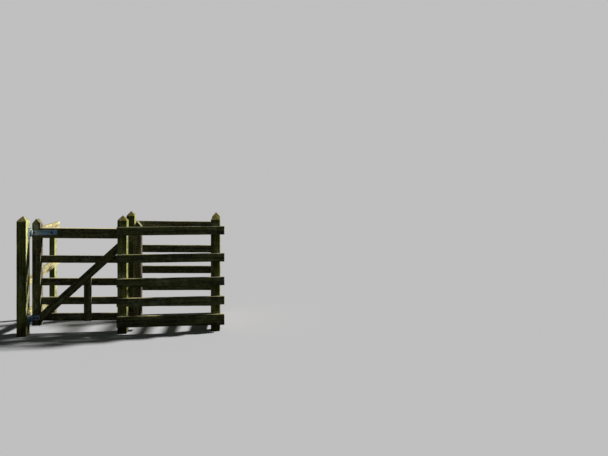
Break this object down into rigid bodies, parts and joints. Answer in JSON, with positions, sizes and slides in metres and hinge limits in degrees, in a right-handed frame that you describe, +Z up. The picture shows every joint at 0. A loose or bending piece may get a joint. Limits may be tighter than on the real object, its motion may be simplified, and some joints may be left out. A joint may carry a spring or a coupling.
{
  "type": "kissing gate",
  "caption": "Weathered timber kissing gate: a braced leaf on strap hinges that swings between two clapping posts of a railed enclosure.",
  "frame": {"origin": "centre of the hinge post's foot, at ground level", "axes": "+X along the front fence from the hinge post to the corner post, +Y through the gate to the rear fence, +Z up"},
  "size_m": [2.095, 0.845, 1.23],
  "materials": {
    "post_timber": "weathered sawn softwood, moss on the tops, matt",
    "rail_timber": "weathered sawn softwood with green algae, matt",
    "leaf_timber": "weathered sawn softwood, slightly browner, matt",
    "galvanised_steel": "dull hot-dip galvanised"
  },
  "bodies": {
    "root": {"hinge_post": "post_timber", "front_clapping_post": "post_timber", "rear_clapping_post": "post_timber", "front_corner_post": "post_timber", "rear_corner_post": "post_timber", "wing_post": "post_timber", "front_rail_1": "rail_timber", "front_rail_2": "rail_timber", "front_rail_3": "rail_timber", "front_rail_4": "rail_timber", "front_rail_5": "rail_timber", "rear_rail_1": "rail_timber", "rear_rail_2": "rail_timber", "rear_rail_3": "rail_timber", "rear_rail_4": "rail_timber", "rear_rail_5": "rail_timber", "side_rail_1": "rail_timber", "side_rail_2": "rail_timber", "side_rail_3": "rail_timber", "side_rail_4": "rail_timber", "side_rail_5": "rail_timber", "wing_rail_1": "rail_timber", "wing_rail_2": "rail_timber", "wing_rail_3": "rail_timber", "upper_hook": "galvanised_steel", "lower_hook": "galvanised_steel"},
    "leaf": {"hanging_stile": "leaf_timber", "head_stile": "leaf_timber", "leaf_rail_1": "leaf_timber", "leaf_rail_2": "leaf_timber", "leaf_rail_3": "leaf_timber", "leaf_rail_4": "leaf_timber", "leaf_rail_5": "leaf_timber", "leaf_brace": "leaf_timber", "leaf_strut": "leaf_timber", "upper_strap": "galvanised_steel", "lower_strap": "galvanised_steel"}
  },
  "joints": [
    {"name": "leaf_hinge", "type": "hinge", "parent": "root", "child": "leaf", "pos_m": [0.06755, 0.03995, 0], "axis": [0, 0, 1], "range_deg": [0, 28]}
  ]
}
